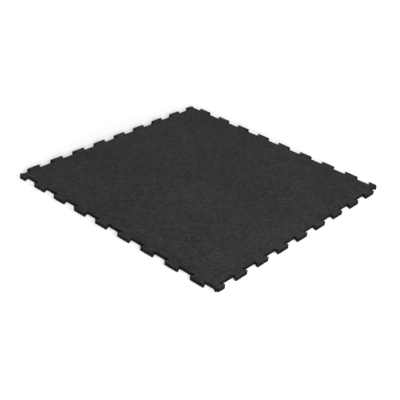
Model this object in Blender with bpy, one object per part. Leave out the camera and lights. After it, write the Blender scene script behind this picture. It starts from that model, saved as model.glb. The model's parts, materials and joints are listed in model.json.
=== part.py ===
"""Interlocking rubber floor tile for gym equipment: one slab cut from bonded rubber crumb.

Units are metres and +Z is up. The tile lies flat, with the origin at the centre of its
underside. Each of its four sides carries the same row of dovetail tabs and notches, and
each side is the one before it turned clockwise by a quarter, so any side of one tile
locks into any side of the next.
"""

import math

import bmesh
import bpy
from mathutils import Matrix, Vector

# Driving dimensions of the slab
OVERALL = 1.000  # from tab tips to tab tips, in X and in Y
THICKNESS = 0.015

# Driving dimensions of the interlocking edge
TAB_DEPTH = 0.020  # from the notch floors to the tab tips
TAB_PITCH = 0.1125
TAB_WIDTH = 0.0525  # halfway along its depth
TAB_FLARE = 0.011  # what a tab gains in width from halfway to its tip
TABS_PER_SIDE = 8  # whole tabs; half a tab more ends each side
PLAN_RADIUS = 0.0026  # rounding of every corner of the outline, left by the cutter
PLAN_RADIUS_STEPS = 3

# Driving dimensions of the pointed nose at each corner, where four tiles meet
NOSE_REACH = 0.011  # how far from the covering square's corner its two faces start
NOSE_PLAY = 0.001  # how far its point stays short of that corner

# Finish of the bonded crumb
CRUMB_COLOUR = (0.038, 0.038, 0.041, 1.0)
CRUMB_ROUGHNESS = 0.92

# The covering square is what one tile covers in a laid floor. Its sides run along the
# middle line of the interlocking edge, halfway between notch floors and tab tips.
COVER = OVERALL - TAB_DEPTH
HALF_DEPTH = TAB_DEPTH / 2
FIRST_TAB = (COVER - (TABS_PER_SIDE + 0.5) * TAB_PITCH) / 2 + TAB_PITCH / 2


def tab_corners(centre):
    """The corners of one dovetail tab as (along, outward), measured from the middle line."""
    root = TAB_WIDTH / 2 - TAB_FLARE / 2
    tip = TAB_WIDTH / 2 + TAB_FLARE / 2
    return [
        (centre - root, -HALF_DEPTH),
        (centre - tip, HALF_DEPTH),
        (centre + tip, HALF_DEPTH),
        (centre + root, -HALF_DEPTH),
    ]


def side_corners():
    """The corners of one side: a half notch, the whole tabs, a half tab and the nose."""
    corners = []
    for number in range(TABS_PER_SIDE):
        corners += tab_corners(FIRST_TAB + number * TAB_PITCH)
    corners += tab_corners(FIRST_TAB + TABS_PER_SIDE * TAB_PITCH)[:2]
    corners += [
        (COVER - NOSE_REACH - NOSE_PLAY / 2, HALF_DEPTH),
        (COVER - NOSE_PLAY, 0.0),
        (COVER - HALF_DEPTH, NOSE_PLAY / 2 - NOSE_REACH),
    ]
    return corners


def tile_corners():
    """The whole outline clockwise from above, starting with the side that faces -X."""
    corners = []
    for side in range(4):
        turn = Matrix.Rotation(-side * math.pi / 2, 2)
        for along, outward in side_corners():
            corners.append(turn @ Vector((-COVER / 2 - outward, -COVER / 2 + along)))
    return corners


def rounded(corners):
    """The same closed outline with an arc of PLAN_RADIUS in place of each corner."""
    points = []
    for index, corner in enumerate(corners):
        before = corners[index - 1] - corner
        after = corners[(index + 1) % len(corners)] - corner
        half_angle = before.angle(after) / 2
        towards_centre = (before.normalized() + after.normalized()).normalized()
        centre = corner + towards_centre * PLAN_RADIUS / math.sin(half_angle)
        start = corner + before.normalized() * PLAN_RADIUS / math.tan(half_angle) - centre
        sweep = start.angle_signed(corner - centre) * 2
        for step in range(PLAN_RADIUS_STEPS + 1):
            turn = Matrix.Rotation(-sweep * step / PLAN_RADIUS_STEPS, 2)
            points.append(centre + turn @ start)
    return points


def crumb_material():
    """Charcoal rubber crumb, matt all over."""
    material = bpy.data.materials.new("rubber_crumb")
    material.use_nodes = True
    shader = material.node_tree.nodes["Principled BSDF"]
    shader.inputs["Base Color"].default_value = CRUMB_COLOUR
    shader.inputs["Roughness"].default_value = CRUMB_ROUGHNESS
    shader.inputs["Metallic"].default_value = 0.0
    return material


def rubber_tile():
    """The slab: the outline as one face, extruded by the thickness."""
    shape = bmesh.new()
    base = shape.faces.new(
        [shape.verts.new((point.x, point.y, 0.0)) for point in rounded(tile_corners())]
    )
    grown = bmesh.ops.extrude_face_region(shape, geom=[base])["geom"]
    top = [item for item in grown if isinstance(item, bmesh.types.BMVert)]
    bmesh.ops.translate(shape, verts=top, vec=(0.0, 0.0, THICKNESS))
    # The two large faces get short, evenly shaped triangles along the tabs.
    bmesh.ops.triangulate(shape, faces=shape.faces[:], ngon_method="BEAUTY")
    bmesh.ops.recalc_face_normals(shape, faces=shape.faces[:])

    mesh = bpy.data.meshes.new("rubber_tile")
    shape.to_mesh(mesh)
    shape.free()
    mesh.materials.append(crumb_material())
    tile = bpy.data.objects.new("rubber_tile", mesh)
    bpy.context.scene.collection.objects.link(tile)
    return tile


def main():
    for old in list(bpy.data.objects):
        bpy.data.objects.remove(old, do_unlink=True)
    rubber_tile()


main()
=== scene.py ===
"""Looks of an interlocking rubber floor tile, lying flat on a white studio floor.

The tile is one slab of bonded rubber crumb: charcoal granules pressed flat on top and cut
through along the dovetail edge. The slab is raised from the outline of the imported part, at
the part's own size. Its cut walls are torn by the cutter, its rims are slightly nibbled, and
single crumbs stand a little proud of the top and of the walls.

Units are metres. +Z is up, and the origin is the centre of the tile's underside.
"""

import json
import logging
import math
from collections.abc import Callable
from dataclasses import dataclass
from enum import Enum

import bmesh
import bpy
from mathutils import Matrix, Vector

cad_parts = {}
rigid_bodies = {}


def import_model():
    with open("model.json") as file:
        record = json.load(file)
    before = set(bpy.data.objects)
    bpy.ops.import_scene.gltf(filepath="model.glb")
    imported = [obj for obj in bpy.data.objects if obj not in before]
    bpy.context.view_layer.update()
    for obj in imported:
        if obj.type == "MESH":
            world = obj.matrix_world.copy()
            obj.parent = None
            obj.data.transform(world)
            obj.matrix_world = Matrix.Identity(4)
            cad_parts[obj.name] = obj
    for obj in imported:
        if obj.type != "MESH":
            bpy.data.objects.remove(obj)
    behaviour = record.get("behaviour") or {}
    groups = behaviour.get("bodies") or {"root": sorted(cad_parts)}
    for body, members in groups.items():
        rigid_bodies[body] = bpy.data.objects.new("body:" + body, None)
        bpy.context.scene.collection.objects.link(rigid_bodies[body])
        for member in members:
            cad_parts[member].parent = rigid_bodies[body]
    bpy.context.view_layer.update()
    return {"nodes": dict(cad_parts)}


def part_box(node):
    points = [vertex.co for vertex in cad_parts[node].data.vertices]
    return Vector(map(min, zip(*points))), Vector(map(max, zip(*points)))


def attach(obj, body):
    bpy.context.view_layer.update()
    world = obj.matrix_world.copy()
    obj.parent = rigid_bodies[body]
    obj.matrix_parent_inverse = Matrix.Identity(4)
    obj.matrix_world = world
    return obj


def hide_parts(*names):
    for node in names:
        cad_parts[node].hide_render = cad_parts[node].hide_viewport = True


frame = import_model()

LOG = logging.getLogger("floor_tile")
NODE = "rubber_tile"
BODY = "root"
TONE_ATTRIBUTE = "crumb_tone"
MILLIMETRE = 0.001
HAIR = 1e-5  # points that lie nearer to each other than this count as level, or as one
WHOLE = (0.0, 1.0)  # the full range of a random number or a mask

Socket = bpy.types.NodeSocket
Piece = bpy.types.Object
RGB = tuple[float, float, float]
Place = tuple[float, float, float]
Span = tuple[float, float]


class Surface(Enum):
    """The slab's kinds of surface. The value is the material slot that each one takes."""

    TOP = 0
    RIM = 1
    CUT = 2
    UNDERSIDE = 3


class Zone(Enum):
    """The zones of the slab that are uneven in their own way. The value names a vertex group."""

    WALL = "wall"
    TOP = "field"


class Element(Enum):
    """What is picked in edit mode, by Blender's own name for it."""

    VERTEX = "VERT"
    EDGE = "EDGE"
    FACE = "FACE"


class Pattern(Enum):
    """A procedural texture that moves a surface, by Blender's own name for it."""

    CELLS = "VORONOI"
    CLOUDS = "CLOUDS"


class Distance(Enum):
    """What the cells of a pattern measure their distance to, by Blender's own name for it."""

    CENTRE = "F1"
    BOUNDARY = "DISTANCE_TO_EDGE"


def only(piece: Piece) -> None:
    """Makes one object the only selected one, and the active one.

    Args:
        piece: The object.
    """
    bpy.ops.object.select_all(action="DESELECT")
    piece.select_set(True)
    bpy.context.view_layer.objects.active = piece


def pick(piece: Piece, element: Element, wanted: Callable[..., bool]) -> int:
    """Selects part of a mesh in edit mode, and nothing else.

    Args:
        piece: The object in edit mode.
        element: Whether vertices, edges or faces are picked.
        wanted: Says of one vertex, edge or face whether it is picked.

    Returns:
        How many were picked.
    """
    bpy.ops.mesh.select_mode(type=element.value)
    bpy.ops.mesh.select_all(action="DESELECT")
    mesh = bmesh.from_edit_mesh(piece.data)
    lists = {Element.VERTEX: mesh.verts, Element.EDGE: mesh.edges, Element.FACE: mesh.faces}
    picked = [item for item in lists[element] if wanted(item)]
    for item in picked:
        item.select_set(True)
    mesh.select_flush_mode()
    bmesh.update_edit_mesh(piece.data, loop_triangles=False)
    return len(picked)


def around_one(reach: float) -> Span:
    """The range from as far below 1 as above it."""
    return (1.0 - reach, 1.0 + reach)


class NodeWiring:
    """A node tree with short calls to add nodes and wire them."""

    def __init__(self, tree: bpy.types.NodeTree) -> None:
        """Keeps the tree that the nodes go into."""
        self.tree = tree

    def add(self, kind: str, inputs: dict | None = None, **settings: object) -> bpy.types.Node:
        """Adds one node.

        Args:
            kind: The node's type, such as ShaderNodeTexNoise.
            inputs: Input name or number to a value, or to the socket that feeds it.
            **settings: The node's own properties.

        Returns:
            The new node.
        """
        node = self.tree.nodes.new(kind)
        for key, value in settings.items():
            setattr(node, key, value)
        for key, value in (inputs or {}).items():
            if isinstance(value, Socket):
                self.tree.links.new(value, node.inputs[key])
            else:
                node.inputs[key].default_value = value
        return node

    def maths(self, operation: str, a: float | Socket, b: float | Socket) -> Socket:
        """Returns the result of one Math node."""
        return self.add("ShaderNodeMath", {0: a, 1: b}, operation=operation).outputs[0]

    def vector(self, operation: str, inputs: dict) -> Socket:
        """Returns the vector that one Vector Math node gives."""
        return self.add("ShaderNodeVectorMath", inputs, operation=operation).outputs[0]

    def height(self, vector: Socket) -> Socket:
        """Returns the Z of a vector."""
        return self.add("ShaderNodeSeparateXYZ", {0: vector}).outputs[2]

    def remap(self, value: Socket, old: Span, new: tuple[float | Socket, float]) -> Socket:
        """Returns the value carried from one range to another, held at the ends."""
        inputs = {0: value, 1: old[0], 2: old[1], 3: new[0], 4: new[1]}
        return self.add("ShaderNodeMapRange", inputs).outputs[0]


class NodeBoard(NodeWiring):
    """One material's node tree, with short calls for the nodes that finishes use."""

    def __init__(self, name: str) -> None:
        """Starts a material with its Principled shader.

        Args:
            name: The material's name.
        """
        self.material = bpy.data.materials.new(name)
        self.material.use_nodes = True
        super().__init__(self.material.node_tree)
        self.shader = self.tree.nodes["Principled BSDF"]

    def place(self) -> Socket:
        """Returns the Object coordinates."""
        return self.add("ShaderNodeTexCoord").outputs["Object"]

    def noise(self, place: Socket, size: float, detail: float = 2.0) -> bpy.types.Node:
        """Returns a Noise node whose largest features are about that size."""
        inputs = {"Vector": place, "Scale": 1 / size, "Detail": detail}
        return self.add("ShaderNodeTexNoise", inputs)

    def cells(self, place: Socket, size: float, to: Distance) -> bpy.types.Node:
        """Returns a Voronoi node whose cells are about that size."""
        inputs = {"Vector": place, "Scale": 1 / size}
        return self.add("ShaderNodeTexVoronoi", inputs, feature=to.value)

    def feed(self, socket: Socket, name: str) -> None:
        """Wires a socket to one input of the Principled shader."""
        self.tree.links.new(socket, self.shader.inputs[name])


@dataclass(frozen=True)
class CrumbFinish:
    """Bonded rubber crumb: granules of slightly different greys, with painted shade in the seams
    between them and in the pits.

    The pattern is solid, so a granule on the top carries on down the cut wall. A tone is a
    factor on the colour, and a contrast is how far a tone strays from 1.

    Attributes:
        name: The material's name.
        colour: The colour that the tones go with.
        granule: Size of a granule.
        dust: Size of the finest grains.
        granule_contrast: Contrast between granules.
        dust_contrast: Contrast between the finest grains.
        seam_shade: Tone of the painted shade in the darkest seams.
        pit: Size of the pits where a crumb is missing.
        pit_shade: Tone of the painted shade in a pit.
        cluster: Size of the clusters of lighter or darker granules.
        cluster_contrast: Contrast between clusters.
        clouds: Sizes of the soft clouds, small and large.
        cloud_contrast: Contrast between the clouds.
        fleck_share: Share of the granules that are light flecks.
        fleck_gain: Tone of the lightest flecks.
        roughness: Middle of the granules' roughness.
        gloss: Specular level.
        relief: Height of the fine relief.
        relief_strength: How strongly the relief shows.
        loose: True for loose crumbs, which carry a tone of their own in an attribute.
    """

    name: str
    colour: RGB
    granule: float = 0.0024
    dust: float = 0.0009
    granule_contrast: float = 0.36
    dust_contrast: float = 0.18
    seam_shade: float = 0.45
    pit: float = 0.005
    pit_shade: float = 0.55
    cluster: float = 0.017
    cluster_contrast: float = 0.25
    clouds: Span = (0.05, 0.30)
    cloud_contrast: float = 0.19
    fleck_share: float = 0.02
    fleck_gain: float = 1.8
    roughness: float = 0.90
    gloss: float = 0.10
    relief: float = 0.0005
    relief_strength: float = 0.7
    loose: bool = False

    # The granules' outlines
    WANDER_SIZE = 1.6  # in granules
    WANDER_REACH = 1.1  # in granules, for the noise's full range

    # What the raw patterns range over
    NOISE = (0.3, 0.7)
    TWO_NOISES = (0.6, 1.4)
    SEAM_NOISE = (0.35, 0.65)
    SEAM_NOISE_SIZE = 4.0  # in granules
    PIT_NOISE = (0.33, 0.40)
    PIT_DETAIL = 3.0
    SEAM_TONE_EDGE = (0.0, 0.14)  # in granules, from the boundary
    SEAM_RELIEF_EDGE = (0.0, 0.15)
    GRANULE_EDGE = (0.0, 0.9)  # in granules, from the centre
    DUST_EDGE = (0.0, 0.8)  # in fine grains, from the centre

    # Heights in the fine relief, from centre or bottom to edge
    DOME = (1.0, 0.55)
    GRIT = (0.25, 0.0)
    PIT_DEPTH = (0.3, 1.0)

    ROUGHNESS_REACH = 0.10

    def material(self) -> bpy.types.Material:
        """Builds the material.

        Returns:
            The material, which reads Object coordinates, and the crumbs' own tone if loose.
        """
        board = NodeBoard(self.name)
        place = board.place()
        bent = self._bent(board, place)
        granules = board.cells(bent, self.granule, Distance.CENTRE)
        seams = board.cells(bent, self.granule, Distance.BOUNDARY).outputs["Distance"]
        dust = board.cells(place, self.dust, Distance.CENTRE)
        chance = board.add("ShaderNodeSeparateColor", {0: granules.outputs["Color"]}).outputs
        tone = self._tone(board, place, chance, dust, seams)
        if self.loose:
            own = board.add("ShaderNodeAttribute", attribute_name=TONE_ATTRIBUTE).outputs["Fac"]
            tone = board.maths("MULTIPLY", tone, own)
        colour = board.add(
            "ShaderNodeMix", {0: 1.0, 6: (*self.colour, 1.0), 7: tone},
            data_type="RGBA", blend_type="MULTIPLY",
        )
        roughest = min(1.0, self.roughness + self.ROUGHNESS_REACH)
        rough = board.remap(chance[1], WHOLE, (self.roughness - self.ROUGHNESS_REACH, roughest))
        height = self._height(board, place, granules, seams, dust)
        bump = board.add(
            "ShaderNodeBump",
            {"Strength": self.relief_strength, "Distance": self.relief, "Height": height},
        )
        board.feed(colour.outputs[2], "Base Color")
        board.feed(rough, "Roughness")
        board.feed(bump.outputs[0], "Normal")
        board.shader.inputs["Specular IOR Level"].default_value = self.gloss
        return board.material

    def _bent(self, board: NodeBoard, place: Socket) -> Socket:
        """Makes the coordinates wander, so that granules get uneven outlines.

        Args:
            board: The material's node board.
            place: Object coordinates.

        Returns:
            The coordinates, moved by half a granule at most.
        """
        wander = board.noise(place, self.granule * self.WANDER_SIZE).outputs["Color"]
        centred = board.vector("SUBTRACT", {0: wander, 1: (0.5, 0.5, 0.5)})
        shift = board.vector("SCALE", {0: centred, "Scale": self.granule * self.WANDER_REACH})
        return board.vector("ADD", {0: place, 1: shift})

    def _tone(
        self, board: NodeBoard, place: Socket, chance: list[Socket], dust: bpy.types.Node,
        seams: Socket,
    ) -> Socket:
        """How light each spot is, about 1 on average, with painted shade in the seams and pits.

        Args:
            board: The material's node board.
            place: Object coordinates.
            chance: Three random numbers for each granule.
            dust: The fine cells.
            seams: Distance from the nearest granule boundary, in granules.

        Returns:
            The factor for the finish's colour.
        """
        by_granule = board.remap(chance[0], WHOLE, around_one(self.granule_contrast))
        fine = board.add("ShaderNodeSeparateColor", {0: dust.outputs["Color"]}).outputs[0]
        by_dust = board.remap(fine, WHOLE, around_one(self.dust_contrast))
        flecked = (1.0 - self.fleck_share, 1.0 - self.fleck_share / 2)
        by_fleck = board.remap(chance[2], flecked, (1.0, self.fleck_gain))
        uneven = board.noise(place, self.granule * self.SEAM_NOISE_SIZE).outputs[0]
        # Painted shade: the seams between granules are darkened as if shade fell in them, unevenly
        # along each seam.
        depth = board.remap(uneven, self.SEAM_NOISE, (1.0, self.seam_shade))
        by_painted_seam_shade = board.remap(seams, self.SEAM_TONE_EDGE, (depth, 1.0))
        # Painted shade: the pits where a crumb is missing are darkened as if shade fell in them.
        by_painted_pit_shade = board.remap(self._pits(board, place), WHOLE, (self.pit_shade, 1.0))
        clusters = board.noise(place, self.cluster).outputs[0]
        by_cluster = board.remap(clusters, self.NOISE, around_one(self.cluster_contrast))
        small, large = (board.noise(place, size).outputs[0] for size in self.clouds)
        clouds = board.maths("ADD", small, large)
        by_cloud = board.remap(clouds, self.TWO_NOISES, around_one(self.cloud_contrast))
        tone = board.maths("MULTIPLY", by_granule, by_dust)
        for factor in (by_fleck, by_painted_seam_shade, by_painted_pit_shade, by_cluster, by_cloud):
            tone = board.maths("MULTIPLY", tone, factor)
        return tone

    def _pits(self, board: NodeBoard, place: Socket) -> Socket:
        """0 in the small pits where a crumb is missing, 1 elsewhere."""
        gaps = board.noise(place, self.pit, self.PIT_DETAIL).outputs[0]
        return board.remap(gaps, self.PIT_NOISE, WHOLE)

    def _height(
        self, board: NodeBoard, place: Socket, granules: bpy.types.Node, seams: Socket,
        dust: bpy.types.Node,
    ) -> Socket:
        """The fine relief: domed granules, sunk seams, grit and pits where crumbs are missing.

        Args:
            board: The material's node board.
            place: Object coordinates.
            granules: The granule cells.
            seams: Distance from the nearest granule boundary, in granules.
            dust: The fine cells.

        Returns:
            The height, from 0 to 1.25.
        """
        dome = board.remap(granules.outputs["Distance"], self.GRANULE_EDGE, self.DOME)
        sunk = board.remap(seams, self.SEAM_RELIEF_EDGE, WHOLE)
        grit = board.remap(dust.outputs["Distance"], self.DUST_EDGE, self.GRIT)
        pits = board.remap(self._pits(board, place), WHOLE, self.PIT_DEPTH)
        solid = board.maths("MULTIPLY", board.maths("MULTIPLY", dome, sunk), pits)
        return board.maths("ADD", solid, grit)


class SlabFinishes:
    """The slab's four finishes, one for each kind of surface, and those of loose crumbs."""

    TOP = CrumbFinish("crumb_top", (0.0225, 0.0226, 0.0242))
    RIM = CrumbFinish(
        "crumb_rim", (0.020, 0.020, 0.0215), granule_contrast=0.55, fleck_share=0.06,
    )
    # The cut wall is darker than the top partly because fresh-cut rubber is blacker than the dusty
    # top, and partly as painted shade; its darker seams are painted shade too.
    CUT = CrumbFinish(
        "crumb_cut", (0.0077, 0.0077, 0.0082), granule_contrast=0.55, seam_shade=0.30,
        fleck_share=0.04, gloss=0.05, relief=0.0008, relief_strength=0.9,
    )
    UNDERSIDE = CrumbFinish("crumb_underside", (0.020, 0.020, 0.022), relief=0.0006)
    LOOSE_TOP = CrumbFinish("crumb_loose_top", (0.0235, 0.0235, 0.0252), loose=True)
    # The loose crumbs on the cut wall are as dark, partly as painted shade.
    LOOSE_CUT = CrumbFinish("crumb_loose_cut", (0.0068, 0.0068, 0.0073), gloss=0.05, loose=True)

    @classmethod
    def in_slot_order(cls) -> list[CrumbFinish]:
        """The finishes in the order of Surface."""
        return [getattr(cls, surface.name) for surface in Surface]


@dataclass(frozen=True)
class Unevenness:
    """A procedural texture that moves one zone of the slab along its normals.

    Attributes:
        name: The texture's and the modifier's name.
        zone: The zone that moves.
        pattern: The texture.
        size: Size of its features.
        reach: How far its full range moves a point, inwards if below 0.
        middle: Its value that moves nothing.
    """

    name: str
    zone: Zone
    pattern: Pattern
    size: float
    reach: float
    middle: float

    def apply(self, piece: Piece) -> None:
        """Moves the points of the zone's vertex group, for good.

        Args:
            piece: The slab, in object mode.
        """
        texture = bpy.data.textures.new(self.name, type=self.pattern.value)
        texture.noise_scale = self.size
        displace = piece.modifiers.new(self.name, "DISPLACE")
        displace.texture = texture
        displace.texture_coords = "LOCAL"
        displace.strength = self.reach
        displace.mid_level = self.middle
        displace.vertex_group = self.zone.value
        only(piece)
        bpy.ops.object.modifier_apply(modifier=self.name)


@dataclass
class CrumbSlab:
    """The slab itself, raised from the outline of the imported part.

    Attributes:
        source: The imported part's node, whose underside gives the outline.
        name: The piece's name.
        edge_step: Length of one facet along the outline.
        wall_rows: Rows of facets up the cut wall.
        rim_round: How far the rim is rounded over.
        border: Width of the even border inside the rim.
        top_cell: Cell of the grid on the top face.
        underside_cell: Cell of the grid on the underside.
        unevenness: Hollows that the cutter tore out of the wall, bites out of it, and gentle
            waves in the pressed top.
    """

    source: Piece
    name: str = "tile_slab"
    edge_step: float = 0.002
    wall_rows: int = 7
    rim_round: float = 0.0006
    border: float = 0.0012
    top_cell: float = 0.007
    underside_cell: float = 0.025
    unevenness: tuple[Unevenness, ...] = (
        Unevenness("torn_wall", Zone.WALL, Pattern.CELLS, 0.0035, -0.0007, 0.0),
        Unevenness("bitten_wall", Zone.WALL, Pattern.CLOUDS, 0.006, -0.0007, 0.35),
        Unevenness("pressed_top", Zone.TOP, Pattern.CLOUDS, 0.022, 0.0003, 0.5),
    )

    FLAT_DEGREES = 0.5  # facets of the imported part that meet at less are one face
    RIM_DEGREES = 45.0  # lean of the rim's middle
    SMOOTH_DEGREES = 50.0  # edges that turn by more stay sharp
    FIELD_CORNERS = 100  # only the top's and the underside's middle have more
    GRID_SNAP = 2e-5
    LEVEL = 0.98  # rise of a normal, for a level face
    UPRIGHT = 0.02
    RIM_SHARE = 0.5  # how much of the wall's unevenness the rims take

    def __post_init__(self) -> None:
        """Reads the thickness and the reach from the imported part."""
        low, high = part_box(self.source.name)
        self.thickness = high[2] - low[2]
        self.reach = max(high[0], high[1])

    def build(self) -> Piece:
        """Models the slab and dresses it.

        Returns:
            The finished piece.
        """
        piece = self._outline()
        self._split_long_edges(piece)
        self._raise_walls()
        self._close_faces(piece)
        self._lay_grid(piece, Surface.TOP, self.top_cell)
        self._lay_grid(piece, Surface.UNDERSIDE, self.underside_cell)
        self._assign_surfaces(piece)
        self._put_in_order(piece)
        bpy.ops.object.mode_set(mode="OBJECT")
        self._mark_zones(piece)
        for unevenness in self.unevenness:
            unevenness.apply(piece)
        only(piece)
        bpy.ops.object.shade_smooth_by_angle(angle=math.radians(self.SMOOTH_DEGREES))
        return piece

    def _outline(self) -> Piece:
        """Starts the piece with the underside's outline and nothing else.

        Returns:
            The piece, left in edit mode.
        """
        mesh = self.source.data.copy()
        mesh.materials.clear()
        piece = bpy.data.objects.new(self.name, mesh)
        bpy.context.scene.collection.objects.link(piece)
        only(piece)
        bpy.ops.object.mode_set(mode="EDIT")
        bpy.ops.mesh.select_all(action="SELECT")
        bpy.ops.mesh.remove_doubles(threshold=HAIR)
        bpy.ops.mesh.select_all(action="SELECT")
        bpy.ops.mesh.dissolve_limited(angle_limit=math.radians(self.FLAT_DEGREES))
        pick(piece, Element.VERTEX, lambda vertex: vertex.co.z > self.thickness / 2)
        bpy.ops.mesh.delete(type="VERT")
        bpy.ops.mesh.select_all(action="SELECT")
        bpy.ops.mesh.delete(type="ONLY_FACE")
        return piece

    def _split_long_edges(self, piece: Piece) -> None:
        """Splits the outline's long edges into facets of about edge_step.

        Args:
            piece: The slab, in edit mode.
        """

        def cuts(edge: bmesh.types.BMEdge) -> int:
            """How many cuts this edge takes."""
            return max(0, round(edge.calc_length() / self.edge_step) - 1)

        numbers = {cuts(edge) for edge in bmesh.from_edit_mesh(piece.data).edges}
        for number in sorted(numbers - {0}, reverse=True):
            pick(piece, Element.EDGE, lambda edge, number=number: cuts(edge) == number)
            bpy.ops.mesh.subdivide(number_cuts=number)

    def _raise_walls(self) -> None:
        """Extrudes the outline up to just under the top rim, row by row."""
        bpy.ops.mesh.select_mode(type="EDGE")
        bpy.ops.mesh.select_all(action="SELECT")
        bpy.ops.transform.translate(value=(0.0, 0.0, self.rim_round))
        row = (self.thickness - 2 * self.rim_round) / self.wall_rows
        for _ in range(self.wall_rows):
            bpy.ops.mesh.extrude_edges_move(TRANSFORM_OT_translate={"value": (0.0, 0.0, row)})

    def _close_faces(self, piece: Piece) -> None:
        """Closes top and underside, rounds the rims over and lays an even border.

        Args:
            piece: The slab, in edit mode.
        """
        half = self.thickness / 2
        for side in (1, -1):
            pick(
                piece, Element.EDGE,
                lambda edge, side=side: edge.is_boundary and (edge.verts[0].co.z - half) * side > 0,
            )
            bpy.ops.mesh.edge_face_add()
        bpy.ops.mesh.select_all(action="SELECT")
        bpy.ops.mesh.normals_make_consistent(inside=False)
        lean = math.cos(math.radians(self.RIM_DEGREES))
        steps = (
            ((1 - lean) * self.rim_round, lean * self.rim_round),
            (lean * self.rim_round, (1 - lean) * self.rim_round),
            (self.border, 0.0),
        )
        for surface in (Surface.TOP, Surface.UNDERSIDE):
            self._pick_field(piece, surface)
            for width, rise in steps:
                bpy.ops.mesh.inset(thickness=width, depth=rise)

    def _pick_field(self, piece: Piece, surface: Surface) -> None:
        """Selects the one large face in the middle of the top or the underside.

        Args:
            piece: The slab, in edit mode.
            surface: The top or the underside.
        """
        up = surface is Surface.TOP
        pick(
            piece, Element.FACE,
            lambda face: len(face.verts) > self.FIELD_CORNERS and (face.normal.z > 0) == up,
        )

    def _lay_grid(self, piece: Piece, surface: Surface, cell: float) -> None:
        """Cuts the field inside the border into square cells.

        Args:
            piece: The slab, in edit mode.
            surface: The top or the underside.
            cell: The cell's side.
        """
        self._pick_field(piece, surface)
        bpy.ops.mesh.hide(unselected=True)
        lines = round(self.reach / cell)
        for axis in (Vector((1.0, 0.0, 0.0)), Vector((0.0, 1.0, 0.0))):
            for line in range(-lines, lines + 1):
                bpy.ops.mesh.select_all(action="SELECT")
                bpy.ops.mesh.bisect(
                    plane_co=axis * (line * cell), plane_no=axis, threshold=self.GRID_SNAP
                )
        bpy.ops.mesh.reveal(select=False)

    def _assign_surfaces(self, piece: Piece) -> None:
        """Gives every face the material slot of its kind of surface.

        Args:
            piece: The slab, in edit mode.
        """
        for finish in SlabFinishes.in_slot_order():
            piece.data.materials.append(finish.material())
        tests: dict[Surface, Callable[..., bool]] = {
            Surface.TOP: lambda face: face.normal.z > self.LEVEL,
            Surface.RIM: lambda face: self.UPRIGHT < abs(face.normal.z) <= self.LEVEL,
            Surface.CUT: lambda face: abs(face.normal.z) <= self.UPRIGHT,
            Surface.UNDERSIDE: lambda face: face.normal.z < -self.LEVEL,
        }
        for surface, test in tests.items():
            count = pick(piece, Element.FACE, test)
            piece.active_material_index = surface.value
            bpy.ops.object.material_slot_assign()
            LOG.info("%s: %d faces of %s", self.name, count, surface.name)

    def _put_in_order(self, piece: Piece) -> None:
        """Sorts edges and faces by their corners.

        Blender's tools leave them in an order that changes from run to run, and the crumbs
        are scattered face by face.

        Args:
            piece: The slab, in edit mode.
        """
        mesh = bmesh.from_edit_mesh(piece.data)
        mesh.verts.index_update()
        corners = len(mesh.verts)
        mesh.edges.sort(
            key=lambda edge: min(v.index for v in edge.verts) * corners
            + max(v.index for v in edge.verts)
        )
        mesh.faces.sort(
            key=lambda face: face.loops[0].vert.index * corners + face.loops[1].vert.index
        )
        bmesh.update_edit_mesh(piece.data)

    def _mark_zones(self, piece: Piece) -> None:
        """Marks in vertex groups how far each zone's unevenness reaches.

        The upper rim shares the wall's and the top's. The lower rim and the underside keep
        still, so that the tile lies flat.

        Args:
            piece: The slab, in object mode.
        """
        rim = self.rim_round + HAIR
        wall = piece.vertex_groups.new(name=Zone.WALL.value)
        top = piece.vertex_groups.new(name=Zone.TOP.value)
        for vertex in piece.data.vertices:
            height = vertex.co.z
            if rim < height < self.thickness - rim:
                wall.add([vertex.index], 1.0, "REPLACE")
            elif height > self.thickness / 2:
                weight = self.RIM_SHARE if height < self.thickness - HAIR else 0.0
                wall.add([vertex.index], weight, "REPLACE")
                top.add([vertex.index], 1.0 - weight, "REPLACE")


@dataclass(frozen=True)
class CrumbShape:
    """One angular crumb of ground rubber, 1 mm across, sitting on z = 0.

    Attributes:
        sides: Corners of its outline.
        height: Height over width.
        taper: Width of its upper face over that of its foot.
        uneven: How far its corners are pushed about at random, in millimetres.
        seed: Picks the random pushes.
    """

    sides: int
    height: float
    taper: float
    uneven: float
    seed: int

    LEAN = 0.0001  # step by which the upper faces lean to one side
    LEANS = 3
    UP = 0.9  # rise of a normal, for the upper face

    def build(self) -> Piece:
        """Models the crumb.

        Returns:
            The crumb, at the origin.
        """
        bpy.ops.object.select_all(action="DESELECT")
        bpy.ops.mesh.primitive_cylinder_add(
            vertices=self.sides, radius=MILLIMETRE / 2, depth=MILLIMETRE * self.height,
            location=(0.0, 0.0, MILLIMETRE / 2 * self.height),
        )
        crumb = bpy.context.active_object
        crumb.name = f"crumb_{self.seed}"
        bpy.ops.object.transform_apply(location=True, rotation=True, scale=True)
        bpy.ops.object.mode_set(mode="EDIT")
        pick(crumb, Element.FACE, lambda face: face.normal.z > self.UP)
        bpy.ops.transform.resize(value=(self.taper, self.taper, 1.0))
        bpy.ops.transform.translate(value=(self.LEAN * (self.seed % self.LEANS), 0.0, 0.0))
        bpy.ops.mesh.select_all(action="SELECT")
        bpy.ops.transform.vertex_random(offset=MILLIMETRE * self.uneven, seed=self.seed)
        bpy.ops.mesh.normals_make_consistent(inside=False)
        bpy.ops.object.mode_set(mode="OBJECT")
        return crumb


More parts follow.
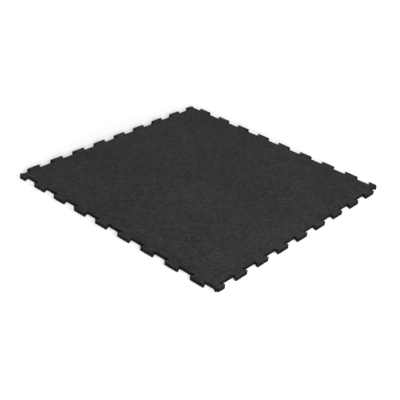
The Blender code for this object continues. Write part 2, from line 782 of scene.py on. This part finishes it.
@dataclass
class LooseCrumbs:
    """Crumbs that stand out of one zone of the slab, scattered over it at random.

    Attributes:
        name: The piece's name.
        slab: The slab that the crumbs sit on.
        finish: Their finish.
        zone: Where they sit: on the top, or on the cut wall and its rims.
        spacing: The least distance between two crumbs.
        density: The most crumbs on a square metre.
        width: Smallest and largest width of a crumb, in millimetres.
        sunk: How deep the foot of a crumb 1 mm wide is sunk into the slab. A wider one
            sinks deeper in proportion.
        seed: Picks the random places, turns and sizes.
    """

    name: str
    slab: Piece
    finish: CrumbFinish
    zone: Zone
    spacing: float
    density: float
    width: Span
    sunk: float
    seed: int

    FOOT = 0.003  # height up to which the wall bears no crumbs, so that none reach the floor
    TOP_RISE = 0.97  # the top's normals rise by more
    WALL_RISE = 0.9  # those of the wall and its rims rise by less
    TONES = (0.6, 1.5)
    SMOOTH_DEGREES = 25.0
    SALTS = 10  # random numbers that each seed leaves room for
    SHAPES = (
        CrumbShape(5, 0.34, 0.62, 0.09, 1),
        CrumbShape(5, 0.26, 0.75, 0.11, 2),
        CrumbShape(6, 0.30, 0.58, 0.10, 3),
        CrumbShape(4, 0.38, 0.66, 0.12, 4),
    )

    def build(self) -> Piece:
        """Scatters the crumbs and joins them into one mesh.

        Returns:
            The finished piece.
        """
        shapes = bpy.data.collections.new(f"{self.name}_shapes")
        for shape in self.SHAPES:
            crumb = shape.build()
            for home in list(crumb.users_collection):
                home.objects.unlink(crumb)
            shapes.objects.link(crumb)
        piece = bpy.data.objects.new(self.name, self.slab.data.copy())
        bpy.context.scene.collection.objects.link(piece)
        scatter = piece.modifiers.new("scatter", "NODES")
        scatter.node_group = self._scatter_tree(shapes)
        only(piece)
        bpy.ops.object.modifier_apply(modifier=scatter.name)
        for crumb in list(shapes.objects):
            bpy.data.objects.remove(crumb)
        bpy.data.collections.remove(shapes)
        piece.data.materials.clear()
        piece.data.materials.append(self.finish.material())
        only(piece)
        bpy.ops.object.shade_smooth_by_angle(angle=math.radians(self.SMOOTH_DEGREES))
        return piece

    def _scatter_tree(self, shapes: bpy.types.Collection) -> bpy.types.NodeTree:
        """Wires the nodes that scatter the crumbs.

        Args:
            shapes: The crumbs to choose from.

        Returns:
            The node tree for a Geometry Nodes modifier.
        """
        tree = bpy.data.node_groups.new(f"{self.name}_scatter", "GeometryNodeTree")
        for way in ("INPUT", "OUTPUT"):
            tree.interface.new_socket("Geometry", in_out=way, socket_type="NodeSocketGeometry")
        board = NodeWiring(tree)
        surface = board.add("NodeGroupInput").outputs[0]
        points = board.add(
            "GeometryNodeDistributePointsOnFaces",
            {
                "Mesh": surface, "Selection": self._chosen_faces(board),
                "Distance Min": self.spacing, "Density Max": self.density, "Seed": self.seed,
            },
            distribute_method="POISSON",
        )
        spin = board.add(
            "FunctionNodeAxisAngleToRotation",
            {"Axis": (0.0, 0.0, 1.0), "Angle": self._random(board, (0.0, math.tau), 1)},
        )
        turned = board.add(
            "FunctionNodeRotateRotation",
            {"Rotation": points.outputs["Rotation"], "Rotate By": spin.outputs[0]},
            rotation_space="LOCAL",
        )
        choice = board.add(
            "GeometryNodeCollectionInfo", {"Collection": shapes, "Separate Children": True}
        )
        size = board.add(
            "ShaderNodeCombineXYZ",
            {axis: self._random(board, self.width, 2 + axis) for axis in range(3)},
        )
        crumbs = board.add(
            "GeometryNodeInstanceOnPoints",
            {
                "Points": points.outputs["Points"], "Instance": choice.outputs[0],
                "Pick Instance": True, "Rotation": turned.outputs[0], "Scale": size.outputs[0],
            },
        )
        sunk = board.add(
            "GeometryNodeTranslateInstances",
            {"Instances": crumbs.outputs[0], "Translation": (0.0, 0.0, -self.sunk)},
        )
        toned = board.add(
            "GeometryNodeStoreNamedAttribute",
            {
                "Geometry": sunk.outputs[0], "Name": TONE_ATTRIBUTE,
                "Value": self._random(board, self.TONES, 5),
            },
            data_type="FLOAT", domain="INSTANCE",
        )
        mesh = board.add("GeometryNodeRealizeInstances", {"Geometry": toned.outputs[0]})
        board.add("NodeGroupOutput", {0: mesh.outputs[0]})
        return tree

    def _chosen_faces(self, board: NodeWiring) -> Socket:
        """Picks the faces that take crumbs, by how their normals rise.

        Args:
            board: The scatter's node tree.

        Returns:
            True on the zone's faces.
        """
        rise = board.height(board.add("GeometryNodeInputNormal").outputs[0])
        if self.zone is Zone.TOP:
            return board.maths("GREATER_THAN", rise, self.TOP_RISE)
        height = board.height(board.add("GeometryNodeInputPosition").outputs[0])
        off_floor = board.maths("GREATER_THAN", height, self.FOOT)
        steep = board.maths("LESS_THAN", rise, self.WALL_RISE)
        return board.maths("MULTIPLY", off_floor, steep)

    def _random(self, board: NodeWiring, span: Span, salt: int) -> Socket:
        """A random number for each crumb.

        Args:
            board: The scatter's node tree.
            span: Its least and greatest value.
            salt: Sets this draw apart from the others with the same seed.

        Returns:
            The number.
        """
        inputs = {2: span[0], 3: span[1], "Seed": self.seed * self.SALTS + salt}
        return board.add("FunctionNodeRandomValue", inputs, data_type="FLOAT").outputs[1]


@dataclass(frozen=True)
class PhotoCamera:
    """The camera, where the photograph was taken from.

    Attributes:
        azimuth: Direction of the camera in degrees, 0 on the -Y side, growing towards +X.
        elevation: Degrees above the horizon.
        roll: Degrees that the camera is turned anticlockwise, seen from behind it.
        lens: Focal length in millimetres.
        depth: Distance along the view axis to the middle of the underside.
        middle_px: Pixel of the frame where the middle of the underside falls.
    """

    azimuth: float = 39.346
    elevation: float = 30.428
    roll: float = 4.924
    lens: float = 72.16
    depth: float = 3.1064
    middle_px: tuple[float, float] = (201.77, 183.31)

    SENSOR = 36.0  # width in millimetres
    FRAME_PX = 400  # width and height

    def build(self) -> Piece:
        """Adds the camera and makes it the scene's.

        Returns:
            The camera.
        """
        azimuth, elevation, roll = map(math.radians, (self.azimuth, self.elevation, self.roll))
        back = Vector((
            math.sin(azimuth) * math.cos(elevation),
            -math.cos(azimuth) * math.cos(elevation),
            math.sin(elevation),
        ))
        right = Vector((0.0, 0.0, 1.0)).cross(back).normalized()
        up = back.cross(right)
        turned = Matrix.Rotation(roll, 3, back)
        right, up = turned @ right, turned @ up
        scale = self.depth * self.SENSOR / self.lens / self.FRAME_PX
        across = (self.middle_px[0] - self.FRAME_PX / 2) * scale
        above = (self.FRAME_PX / 2 - self.middle_px[1]) * scale
        bpy.ops.object.camera_add(location=back * self.depth - right * across - up * above)
        camera = bpy.context.active_object
        camera.name = "photo_camera"
        camera.rotation_euler = Matrix((right, up, back)).transposed().to_euler()
        camera.data.sensor_width = self.SENSOR
        camera.data.lens = self.lens
        bpy.context.scene.camera = camera
        return camera


@dataclass(frozen=True)
class SoftBox:
    """A large soft light that faces the tile.

    Attributes:
        name: The light's name.
        place: Where its middle is.
        size: Its side.
        power: Its power in watts.
    """

    name: str
    place: Place
    size: float
    power: float

    def build(self) -> Piece:
        """Adds the light, aimed at the middle of the tile.

        Returns:
            The light.
        """
        aim = (-Vector(self.place)).to_track_quat("-Z", "Y").to_euler()
        bpy.ops.object.light_add(type="AREA", location=self.place, rotation=aim)
        light = bpy.context.active_object
        light.name = self.name
        light.data.shape = "SQUARE"
        light.data.size = self.size
        light.data.energy = self.power
        return light


@dataclass(frozen=True)
class Studio:
    """The white floor, the pale surroundings and the soft lights.

    Attributes:
        floor_side: Side of the square floor.
        floor_drop: How far the floor lies under the tile.
        floor_white: How white the floor is beside the tile, and away from it.
        floor_reach: Distances from the tile's middle where the first white ends, and where
            the second starts.
        floor_grain: Size of the faint patches in the floor's white.
        grain_white: How white the darkest patches are, and the lightest.
        glow: Strength of the light from the studio's walls, and from its ceiling.
        wall_top: Rise of the line of sight where the walls end, and where the ceiling starts.
        boxes: The soft lights.
    """

    floor_side: float = 34.0
    floor_drop: float = 0.0002
    floor_white: Span = (0.745, 0.99)
    floor_reach: Span = (0.5, 1.5)
    floor_grain: float = 0.6
    grain_white: Span = (0.995, 1.0)
    glow: Span = (0.98, 0.55)
    wall_top: Span = (0.02, 0.22)
    boxes: tuple[SoftBox, ...] = (
        SoftBox("front_box", (13.7, -13.3, 5.5), 9.2, 7100.0),
        SoftBox("right_box", (2.7, 0.1, 1.5), 1.0, 47.0),
        SoftBox("overhead_box", (0.4, -0.6, 6.0), 3.0, 62.0),
    )

    def build(self) -> None:
        """Adds the floor, the lights and the surroundings, and the photo's plain tone curve."""
        bpy.ops.object.select_all(action="DESELECT")
        bpy.ops.mesh.primitive_plane_add(
            size=self.floor_side, location=(0.0, 0.0, -self.floor_drop)
        )
        floor = bpy.context.active_object
        floor.name = "studio_floor"
        bpy.ops.object.transform_apply(location=True, rotation=True, scale=True)
        floor.data.materials.append(self._floor_material())
        for box in self.boxes:
            box.build()
        bpy.context.scene.world = self._surroundings()
        bpy.context.scene.view_settings.view_transform = "Standard"

    def _surroundings(self) -> bpy.types.World:
        """White studio walls all round, under a dimmer ceiling.

        Returns:
            The world.
        """
        world = bpy.data.worlds.new("pale_studio")
        world.use_nodes = True
        board = NodeWiring(world.node_tree)
        rise = board.height(board.add("ShaderNodeTexCoord").outputs["Generated"])
        strength = board.remap(rise, self.wall_top, self.glow)
        sky = board.tree.nodes["Background"]
        sky.inputs["Color"].default_value = (1.0, 1.0, 1.0, 1.0)
        board.tree.links.new(strength, sky.inputs["Strength"])
        return world

    def _floor_material(self) -> bpy.types.Material:
        """Matt white paper, whiter away from the tile, where less light falls.

        Returns:
            The material.
        """
        board = NodeBoard("white_floor")
        place = board.place()
        length = board.add("ShaderNodeVectorMath", {0: place}, operation="LENGTH")
        white = board.remap(length.outputs["Value"], self.floor_reach, self.floor_white)
        patches = board.noise(place, self.floor_grain).outputs[0]
        grain = board.remap(patches, WHOLE, self.grain_white)
        board.feed(board.maths("MULTIPLY", white, grain), "Base Color")
        board.shader.inputs["Roughness"].default_value = 1.0
        board.shader.inputs["Specular IOR Level"].default_value = 0.0
        return board.material


def report(piece: Piece) -> None:
    """Logs one finished piece with its triangles."""
    triangles = sum(len(face.vertices) - 2 for face in piece.data.polygons)
    LOG.info("%s: %d triangles", piece.name, triangles)


def main() -> None:
    """Builds the camera, the studio and the tile, in that order."""
    logging.basicConfig(level=logging.INFO, format="%(name)s: %(message)s")
    PhotoCamera().build()
    Studio().build()

    slab = CrumbSlab(frame["nodes"][NODE]).build()
    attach(slab, BODY)
    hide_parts(NODE)
    report(slab)

    crumbs = (
        LooseCrumbs(
            "top_crumbs", slab, SlabFinishes.LOOSE_TOP, Zone.TOP, spacing=0.005,
            density=13000.0, width=(1.3, 2.8), sunk=0.00023, seed=11,
        ),
        LooseCrumbs(
            "edge_crumbs", slab, SlabFinishes.LOOSE_CUT, Zone.WALL, spacing=0.0016,
            density=110000.0, width=(1.2, 2.6), sunk=0.00026, seed=12,
        ),
    )
    for scatter in crumbs:
        piece = scatter.build()
        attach(piece, BODY)
        report(piece)


if __name__ == "__main__":
    main()
